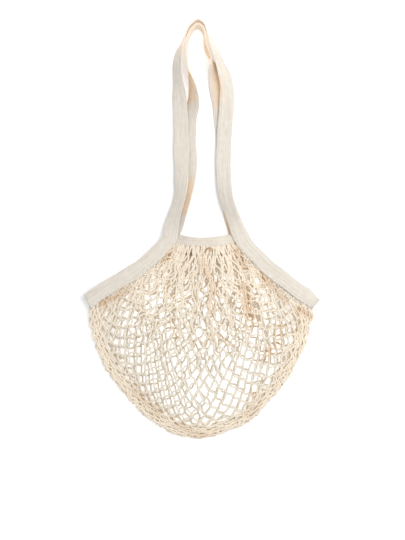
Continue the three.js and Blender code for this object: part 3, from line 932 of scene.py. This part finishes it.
sample = np.array([[mouth[0], mouth[1] - 0.16]])
print("front net's height in the middle:", net_height(sample, front_sides, True).round(4))

# %% [markdown]
# ## Knotting the net
#
# A string net has one rule: the string between two knots never stretches, and all of it is the
# same length. So the net is worked out as knots first. They start on a grid spanned between the
# four sides, are stirred about so that no row runs straight, are drawn together along the folds,
# and are then pulled until no string is longer than it was cut. A cloth simulation would find a
# fall of its own, and this bag should lie as it lies in the picture, so each step is a formula.
#
# The back goes through the same steps with other unevenness and half a mesh to the side, because
# two layers of net never lie mesh on mesh. It lies right under the front only where the net is
# pulled smooth.

# %% Knots and strings
meshes_across = 27
string_long = 0.0165
row_room = np.array(
    [0.0155] * 3
    + [0.0105] * 11
    + [0.0125] * 8
    + [0.0085, 0.0065, 0.005, 0.0042, 0.0036, 0.003, 0.0027, 0.0024, 0.0022, 0.002]
)
knot_rows = len(row_room) + 1  # from the band to the folded edge, half a mesh apart


def knot_grid():
    """Which row and column each knot has, and the pairs of knots that a string joins. Odd rows
    sit half a mesh over, so each knot meets two in the next row, to its left and right."""
    row, column = [], []
    number = {}
    for j in range(knot_rows):
        for i in range(meshes_across + 1 - j % 2):
            number[j, i] = len(row)
            row.append(j)
            column.append(i + 0.5 * (j % 2))
    links = []
    for (j, i), knot in number.items():
        for side, other in ((-1, i - 1 + j % 2), (1, i + j % 2)):
            if (j + 1, other) in number:
                links.append((knot, number[j + 1, other], side))
    return np.array(row), np.array(column), np.array(links)


knot_row, knot_column, strings = knot_grid()
even_share = np.arange(knot_rows) / (knot_rows - 1)
room_share = np.append(0, np.cumsum(row_room)) / row_room.sum()
down_share = (0.5 * even_share + 0.5 * room_share)[knot_row]
across_share = knot_column / meshes_across
held = (knot_row == 0) | (knot_row == knot_rows - 1) | (across_share == 0) | (across_share == 1)
room = row_room[knot_row[strings[:, 0]]]  # how far apart the rows that each string joins lie
print(len(knot_row), "knots and", len(strings), "strings in a layer")


def span(sides, seed, beside):
    """Coons patch: the ruled surface between band and fold, plus the one between the tapes, less
    the one between the four corners. The rows lie as far apart as their room says, closest at the
    bottom. Down from the mouth the knots slide `beside` of a mesh over. The ends that are sewn
    into the band are grouped, two and two and in larger bunches."""
    top, left, right, edge = sides
    aside = np.sin(math.pi * across_share) * smooth_step(0.25, 0.6, down_share)
    s = across_share + beside / meshes_across * aside
    t = down_share + (room_share[knot_row] - down_share) * smooth_step(0, 0.12, np.minimum(s, 1 - s))
    lowest = np.exp(-(((s - 0.5) / 0.17) ** 2)) * smooth_step(0.75, 0.92, t)
    t = 1 - (1 - t) * (1 - 0.25 * lowest)
    corners = [top[0], top[-1], edge[0], edge[-1]]
    grouped = s + gather_uneven * ripple(s[:, None], 0.07, seed) * np.sin(math.pi * s)
    grouped += gather_pair * np.cos(math.pi * knot_column) * (1 - smooth_step(0.02, 0.2, t))
    band, fold = along_line(top, grouped), along_line(edge, s)
    near, far = along_line(left, t), along_line(right, t)
    s, t = s[:, None], t[:, None]
    ruled = (1 - t) * band + t * fold + (1 - s) * near + s * far
    twice = (1 - s) * ((1 - t) * corners[0] + t * corners[2]) + s * ((1 - t) * corners[1] + t * corners[3])
    return ruled - twice


def pull(amount, shape):
    """Adds up what each string does to the knots at its two ends."""
    total = np.zeros(shape)
    for end, sign in ((0, 1.0), (1, -1.0)):
        for k in range(shape[1]):
            total[:, k] += np.bincount(strings[:, end], sign * amount[:, k], shape[0])
    return total


def stir(place, seed, amount):
    """Moves the free knots about unevenly: a knot's neighbours go the same way, and least along
    the folded edge, where they are packed."""
    sheet = np.column_stack([across_share * 1.9, down_share])
    free = smooth_step(0, 0.08, np.minimum(across_share, 1 - across_share)) * smooth_step(0, 0.15, down_share)
    free *= 1 - 0.75 * smooth_step(0.6, 0.8, room_share[knot_row])
    move = [ripple(sheet, 0.16, seed + k) + 0.7 * ripple(sheet, 0.07, seed + 5 + k) for k in range(2)]
    return place + amount * free[:, None] * np.column_stack(move) * ~held[:, None]


def draw_in(place, lines):
    """Slides knots towards each fold line: of its distance d a knot keeps 1 - k exp(-(d / r)^2)."""
    for line, strength, reach in lines:
        far, foot = nearest(np.array(line), place)
        share = strength * np.exp(-((far / reach) ** 2))
        place = place + np.where(held, 0, share)[:, None] * (foot - place)
    return place


def keep_length(place, longest, rounds):
    """Pulls the ends of each string that is too long together, half each, until none is."""
    a, b = strings[:, 0], strings[:, 1]
    count = np.maximum(np.bincount(a, minlength=len(place)) + np.bincount(b, minlength=len(place)), 1)
    for _ in range(rounds):
        way = place[b] - place[a]
        long = np.maximum(np.linalg.norm(way, axis=1), 1e-5)
        over = np.maximum(long - longest, 0)
        move = pull(way * (over / long * 0.5)[:, None], place.shape) * 1.6 / count[:, None]
        place = place + np.where(held, 0, 1)[:, None] * move
    return place


def keep_inside(place, sides):
    """Brings knots that have strayed over the net's outline back to just inside it."""
    top, left, right, edge = sides
    outline = np.vstack([left[::-1], top, right, edge[::-1]])
    a, b = outline, np.roll(outline, -1, axis=0)
    x, y = place[:, None, 0], place[:, None, 1]
    spans = (a[:, 1] > y) != (b[:, 1] > y)
    crossing = (b[:, 0] - a[:, 0]) * (y - a[:, 1]) / np.where(spans, b[:, 1] - a[:, 1], 1) + a[:, 0]
    within = ((spans & (x < crossing)).sum(axis=1) % 2) == 1
    far, foot = nearest(np.vstack([outline, outline[:1]]), place)
    stray = ~within & ~held
    middle = outline.mean(axis=0)
    inward = (middle - foot) / np.linalg.norm(middle - foot, axis=1)[:, None]
    return np.where(stray[:, None], foot + inward * just_inside, place)


just_inside = 0.0015
gather_uneven = 0.013  # shares of the band's width
gather_pair = 0.008

# %% Where the net is bunched and where it is open
# a line, how much of its distance to it a knot gives up (less than 0 pushes away), and the reach
front_bunches = [
    (photo_line((199, 256), (212, 285), (210, 312), (213, 332)), 0.72, 0.011),
    (photo_line((243, 286), (248, 320), (246, 338)), 0.72, 0.011),
    (photo_line((303, 312), (296, 345), (275, 352), (250, 366)), 0.6, 0.010),
    (photo_line((150, 356), (205, 352), (262, 350)), 0.55, 0.008),
    (photo_line((112, 300), (120, 340), (138, 380)), 0.5, 0.010),
    (photo_line((176, 262), (184, 300), (178, 330)), 0.5, 0.010),
    (photo_line((228, 262), (229, 300)), 0.5, 0.009),
    (photo_line((150, 284), (157, 300)), -0.4, 0.015),
    (photo_line((266, 376), (270, 392)), -0.25, 0.015),
]
back_bunches = [
    (photo_line((190, 262), (196, 300), (192, 340)), 0.6, 0.013),
    (photo_line((232, 262), (262, 320), (268, 345)), 0.6, 0.013),
    (photo_line((130, 290), (150, 330), (165, 372)), 0.55, 0.014),
    (photo_line((170, 392), (205, 412), (238, 405)), 0.3, 0.012),
]
# a line, and how far from it the back net's knots still lie right under the front's
open_places = [
    (photo_line((198, 384), (234, 371), (240, 400), (212, 418)), 0.024),
    (photo_line((149, 283), (158, 301)), 0.016),
    (photo_line((266, 376), (270, 392)), 0.011),
]


def lay_net(sides, bunches, seed, stirring, beside):
    """Knots in plan: stirred, drawn in to the folds, and pulled to the strings' true length."""
    place = stir(span(sides, seed, beside), seed, stirring)
    for strength in (1.0, 0.5):
        drawn = [(line, strength * share, reach) for line, share, reach in bunches]
        place = draw_in(place, drawn)
        place = keep_length(place, string_long * nearly_straight, pull_rounds)
        place = keep_inside(place, sides)
    return place


nearly_straight = 0.985
pull_rounds = 160
front_knots = lay_net(front_sides, front_bunches, 50, 0.0038, 0.0)
back_knots = lay_net(back_sides, back_bunches, 60, 0.0058, 0.5)
see_through = np.zeros(len(front_knots))
for line, reach in open_places:
    see_through = np.maximum(see_through, smooth_step(1.5, 0.9, nearest(line, front_knots)[0] / reach))
see_through = see_through[:, None] * ~held[:, None]
back_knots = back_knots * (1 - see_through) + front_knots * see_through
for name, place in (("front", front_knots), ("back", back_knots)):
    long = 1000 * np.linalg.norm(place[strings[:, 0]] - place[strings[:, 1]], axis=1)
    print(f"{name} strings span {long.min():.1f} to {long.max():.1f} mm, mean {long.mean():.1f}")

# %% [markdown]
# ## Strings with their slack
#
# Most knots lie closer together than the string between them is long, so the string bows. A
# string of length L between knots c apart, bowed in one arch of height h, has about
# L = c + (pi h)^2 / (4 c), which gives the height. Strings leave a knot crosswise, so part of the
# slack goes into an S: the two parts share it. Slack past about a tenth of the chord is left out,
# since it curls up in the knots on the real net, and the strings under the band are pulled nearly
# straight.

# %% Bowed strings
def string_curves(knots, heights, seed, steps):
    """Curves (n, steps + 1, 3) from upper to lower knot: the chord, one arch and one S in plan,
    and a small rise or dip, so that strings that cross lie over and under each other."""
    draw = np.random.default_rng(seed)
    a, b, side = strings.T
    place = np.column_stack([knots, heights])
    start, way = place[a], place[b] - place[a]
    chord = np.maximum(np.linalg.norm(way[:, :2], axis=1), 0.0012)
    most = np.where(room > pulled_room, pulled_slack, loose_slack) * chord
    slack = np.sqrt(chord * np.clip(string_long - chord, 0, most))
    normal = np.column_stack([-way[:, 1], way[:, 0], np.zeros(len(way))]) / chord[:, None]
    across = np.zeros((len(knots), 2))
    for k in range(2):
        across[:, k] = np.bincount(a, way[:, k], len(knots))
    fall = across[a] / np.maximum(np.linalg.norm(across[a], axis=1), 1e-9)[:, None]
    steep = np.abs((way[:, :2] * fall).sum(1)) / chord
    turned = np.where(steep > math.cos(rest_angle), 1.0, -1.0) * side
    share = draw.uniform(0.1, 0.75, len(way))
    lean = np.sign(ripple(knots[a], 0.03, seed + 5) + draw.normal(0, 0.45, len(way)))
    arch = lean * np.sqrt(share) * slack * 2 / math.pi
    ess = turned * np.sqrt(1 - share) * slack / math.pi
    u = np.linspace(0, 1, steps + 1)
    off = arch[:, None] * np.sin(math.pi * u) + ess[:, None] * np.sin(2 * math.pi * u)
    rise = draw.uniform(-1, 1, len(way))[:, None] * np.sin(math.pi * u) * string_rise
    curve = start[:, None] + u[None, :, None] * way[:, None] + off[..., None] * normal[:, None]
    curve[..., 2] = np.maximum(curve[..., 2] + rise, string_thick / 2 + off_floor)
    return curve


string_thick = 0.0030
string_rise = 0.0011
off_floor = 0.0001
pulled_room = 0.015  # rows at least this far apart are pulled straight
pulled_slack = 0.012
loose_slack = 0.11
rest_angle = math.radians(38)

# %% Tubes
def tube_arrays(curves, radius, sides):
    """Points, faces and uv of tubes round curves (n, m, 3): each ring turns round the curve's
    direction, starting from the level direction across it. The ends are closed with quads."""
    count, rings = curves.shape[:2]
    along = np.gradient(curves, axis=1)
    along /= np.linalg.norm(along, axis=-1)[..., None]
    across = np.cross(along, [0.0, 0.0, 1.0])
    across /= np.maximum(np.linalg.norm(across, axis=-1), 1e-6)[..., None]
    over = np.cross(across, along)
    turn = 2 * math.pi * np.arange(sides) / sides
    spoke = np.cos(turn)[:, None] * across[:, :, None] + np.sin(turn)[:, None] * over[:, :, None]
    points = curves[:, :, None] + radius[:, :, None, None] * spoke
    faces, j, k = ring_quads(rings, sides)
    lids = lid_quads(sides)
    faces = np.vstack([faces, lids, lids[:, ::-1] + (rings - 1) * sides])
    quads = (faces[None] + (np.arange(count) * rings * sides)[:, None, None]).reshape(-1, 4)
    step = np.linalg.norm(np.diff(curves, axis=1), axis=-1)
    length = np.append(np.zeros((count, 1)), np.cumsum(step, axis=1), 1)
    corner_k = np.stack([k, k, k + 1, k + 1], -1) / sides
    corner_j = np.stack([j, j + 1, j + 1, j], -1)
    uv = np.zeros((count, len(faces), 4, 2))
    uv[:, : len(j), :, 0] = corner_k
    uv[:, : len(j), :, 1] = length[:, corner_j]
    return points.reshape(-1, 3), quads, uv.reshape(-1, 4, 2)


def bead_arrays(centres, axes, radii, rings, sides):
    """Ellipsoids: rings of latitude round three axes (n, 3, 3), with radii (n, 3). The poles are
    tiny rings closed with quads."""
    lift = np.linspace(-math.pi / 2 * 0.93, math.pi / 2 * 0.93, rings)
    turn = 2 * math.pi * np.arange(sides) / sides
    unit = np.stack([
        np.cos(lift)[:, None] * np.cos(turn),
        np.cos(lift)[:, None] * np.sin(turn),
        np.broadcast_to(np.sin(lift)[:, None], (rings, sides)),
    ], -1).reshape(-1, 3)
    points = centres[:, None] + np.einsum("pk,nk,nkc->npc", unit, radii, axes)
    faces, j, k = ring_quads(rings, sides)
    lids = lid_quads(sides)
    faces = np.vstack([faces[:, ::-1], lids[:, ::-1], lids + (rings - 1) * sides])
    quads = (faces[None] + (np.arange(len(centres)) * rings * sides)[:, None, None]).reshape(-1, 4)
    uv = np.zeros((len(centres), len(faces), 4, 2))
    uv[..., 0] = 0.5
    return points.reshape(-1, 3), quads, uv.reshape(-1, 4, 2)


print("string thickness:", string_thick)

# %% [markdown]
# ## Cotton string, close up
#
# The string is three soft plies twisted together. The twist is a wave that runs round and along
# the string at once, so it comes from the UV map, where one direction is the turn round the
# string. Light that has bounced between bunched strings comes back a warm tan, so each point
# carries how closely packed it lies, and the colour follows it. Each point also carries how deep
# in a fold it lies: up to 1 it turns a warm brown, as cotton does that is lit through cotton, and
# from 1 to 2 it goes dark, as in the gap between front and back right under the band. The faint
# glow is the table's light that comes through the loose fibre.

# %% String material
def string_material(name, pale, warm, brown):
    material, tree = new_material(name)
    uv = add(tree, "ShaderNodeUVMap", {"uv_map": "UVMap"})
    split = add(tree, "ShaderNodeSeparateXYZ", None, {0: uv})
    round_it, along = split, Link(tree, split.socket.node.outputs[1])
    place = add(tree, "ShaderNodeTexCoord", out=3)
    packed = add(tree, "ShaderNodeAttribute", {"attribute_name": "packed"}, None, out=2)
    fuzz = add(tree, "ShaderNodeTexNoise", None, {"Vector": place, "Scale": 900.0, "Detail": 2.0})
    cloud = add(tree, "ShaderNodeTexNoise", None, {"Vector": place, "Scale": 55.0, "Detail": 1.0})
    ply = along.maths("SINE", (round_it * plies + along * (1 / ply_step)) * (2 * math.pi))
    depth = packed * 0.85 + cloud * 0.5 - ply * 0.10 + fuzz * 0.15 - 0.3
    share = add(tree, "ShaderNodeMapRange", None, {0: depth, 1: 0.0, 2: 1.0})
    colour = blend_colours(tree, share, pale, warm)
    fold = add(tree, "ShaderNodeAttribute", {"attribute_name": "deep"}, None, out=2)
    colour = blend_colours(tree, fold * (cloud * 0.8 + 0.45), colour, brown)
    shut = add(tree, "ShaderNodeMapRange", None, {0: fold, 1: 1.0, 2: 2.0})
    colour = blend_colours(tree, shut, colour, shut_brown)
    finish_cloth(tree, colour, ply * 0.6 + fuzz * 0.7, ply_depth, fuzz * 0.1 + 0.82, string_glow)
    return material


plies = 3
ply_step = 0.0042
ply_depth = 0.0003
shut_brown = (0.16, 0.09, 0.045, 1.0)
string_glow = (0.105, 0.085, 0.06, 1.0)
net_cotton = string_material(
    "net_cotton", (0.65, 0.61, 0.535, 1.0), (0.73, 0.645, 0.53, 1.0), (0.47, 0.27, 0.11, 1.0)
)
print("string material:", net_cotton.name)

# %% How closely the strings lie
def packed_at(points):
    """0 where the net is open to 1 where it is bunched, from the number of knots close by."""
    both = np.vstack([front_knots, back_knots])
    far = np.linalg.norm(points[:, None] - both[None], axis=-1)
    count = np.exp(-((far / close_by) ** 2)).sum(axis=1)
    return smooth_step(few_knots, many_knots, count)


close_by = 0.012
few_knots = 4.0
many_knots = 14.0


# the folds of the net that light reaches only through the cotton: 1 is the deepest
deep_places = [
    (photo_line((170, 246), (165, 260)), 0.006, 1.0),
    (photo_line((236, 250), (245, 268)), 0.006, 0.9),
    (photo_line((203, 262), (212, 285), (212, 312)), 0.007, 0.6),
    (photo_line((243, 288), (247, 304), (252, 324)), 0.008, 1.0),
    (photo_line((262, 276), (286, 301)), 0.005, 0.9),
    (photo_line((298, 309), (312, 317)), 0.005, 0.9),
    (photo_line((102, 303), (125, 291)), 0.008, 0.9),
    (photo_line((300, 312), (297, 330)), 0.005, 0.45),
    (photo_line((281, 326), (277, 345), (262, 358)), 0.008, 0.9),
    (photo_line((250, 388), (258, 402), (248, 414)), 0.007, 0.5),
    (photo_line((180, 425), (194, 434), (215, 438)), 0.006, 0.6),
    (photo_line((134, 388), (146, 402), (158, 412)), 0.007, 0.5),
    (photo_line((196, 342), (213, 338), (232, 342)), 0.006, 0.45),
    (photo_line((128, 330), (140, 342)), 0.006, 0.4),
    (photo_line((170, 318), (176, 338)), 0.007, 0.4),
]
# the gap between front and back right under the band, where the back net lies in the dark: up to 2
shut_places = [
    (photo_line((170, 249), (163, 261)), 0.008, 1.7),
    (photo_line((180, 250), (205, 252), (228, 251)), 0.011, 2.0),
    (photo_line((236, 250), (245, 264)), 0.008, 1.5),
]


def wear_net(name, node, knots, sides, is_front, seed):
    """One layer of the net as two pieces: its strings and its knots."""
    heights = net_height(knots, sides, is_front)
    heights += knot_ripple * ripple(knots, 0.012, seed) * (1 if is_front else 0.5)
    fold = knot_row == knot_rows - 1
    heights[fold] = rim_thick * 0.6
    heights = np.maximum(heights, string_thick / 2 + off_floor)
    packed = packed_at(knots)
    curves = string_curves(knots, heights, seed, string_steps)
    u = np.linspace(0, 1, string_steps + 1)
    swell = 1 + 0.15 * (2 * np.abs(u - 0.5)) ** 4
    uneven = 1 + 0.07 * ripple(curves, 0.006, seed + 1)
    points, quads, uv = tube_arrays(curves, string_thick / 2 * swell * uneven, string_sides)
    a, b = strings[:, 0], strings[:, 1]
    mark = packed[a][:, None] * (1 - u) + packed[b][:, None] * u
    shade, places = (front_shade, deep_places) if is_front else (1.0, deep_places + shut_places)
    deep = shade * shaded_at(curves[..., :2].reshape(-1, 2), places)
    marks = {"packed": np.repeat(mark.reshape(-1), string_sides), "deep": np.repeat(deep, string_sides)}
    piece = build_mesh(f"{name}_strings", points, quads, uv, net_cotton, marks)
    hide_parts(node)
    draw = np.random.default_rng(seed)
    turn = draw.uniform(0, math.pi, len(knots))
    level = np.column_stack([np.cos(turn), np.sin(turn), np.zeros(len(turn))])
    beside = np.column_stack([-np.sin(turn), np.cos(turn), np.zeros(len(turn))])
    axes = np.stack([level, beside, np.broadcast_to([0.0, 0.0, 1.0], level.shape)], axis=1)
    radii = knot_size * draw.uniform(0.85, 1.15, (len(knots), 1)) * np.array([1.15, 0.85, 0.8])
    centres = np.column_stack([knots, np.maximum(heights, knot_size * 0.95)])
    points, quads, uv = bead_arrays(centres, axes, radii, knot_rings, string_sides)
    each = knot_rings * string_sides
    deep = shade * shaded_at(knots, places)
    marks = {"packed": np.repeat(packed, each), "deep": np.repeat(deep, each)}
    beads = build_mesh(f"{name}_knots", points, quads, uv, net_cotton, marks)
    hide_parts(node)


string_steps = 7
string_sides = 6
knot_size = 0.0017
knot_ripple = 0.0008
knot_rings = 5
front_shade = 0.65  # the front net lies less deep in every fold than the back
wear_net("front_net", "front_net", front_knots, front_sides, True, 70)
wear_net("back_net", "back_net", back_knots, back_sides, False, 80)

# %% [markdown]
# ## The loose loop
#
# Where the net is gathered, one string has been pulled out into a small loop that lies on top of
# the others right under the band. It could be left to chance among the strings, but it is the one
# thing there that the eye finds, so it is laid on purpose: an ellipse of string, darker on the
# side that lies in the band's shade.

# %% The loop at the mouth
def wear_loop(name, node, pixel, size, tilt, lift):
    """A loop of string on the gathers: an ellipse in plan, a little higher on one side, one turn
    and a bit so that its ends lie inside each other."""
    turn = np.linspace(0, 2 * math.pi * 1.02, 27)
    level = photo_line(pixel)[0]
    long, short = size
    x = long * np.cos(turn) * math.cos(tilt) - short * np.sin(turn) * math.sin(tilt)
    y = long * np.cos(turn) * math.sin(tilt) + short * np.sin(turn) * math.cos(tilt)
    curve = np.column_stack([level[0] + x, level[1] + y, lift + 0.0012 * np.sin(turn)])[None]
    points, quads, uv = tube_arrays(curve, np.full((1, len(turn)), string_thick * 0.42), string_sides)
    deep = np.repeat(1.15 + 0.5 * np.sin(turn), string_sides)
    marks = {"packed": np.ones(len(points)), "deep": deep}
    loop = build_mesh(name, points, quads, uv, net_cotton, marks)
    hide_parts(node)


loop_pixel = (208, 251)
loop_size = (0.0062, 0.0032)
loop_tilt = math.radians(45)
loop_height = float(net_height(photo_line(loop_pixel), front_sides, True)[0]) + string_thick * 1.2
wear_loop("front_net_loop", "front_net", loop_pixel, loop_size, loop_tilt, loop_height)

# %% [markdown]
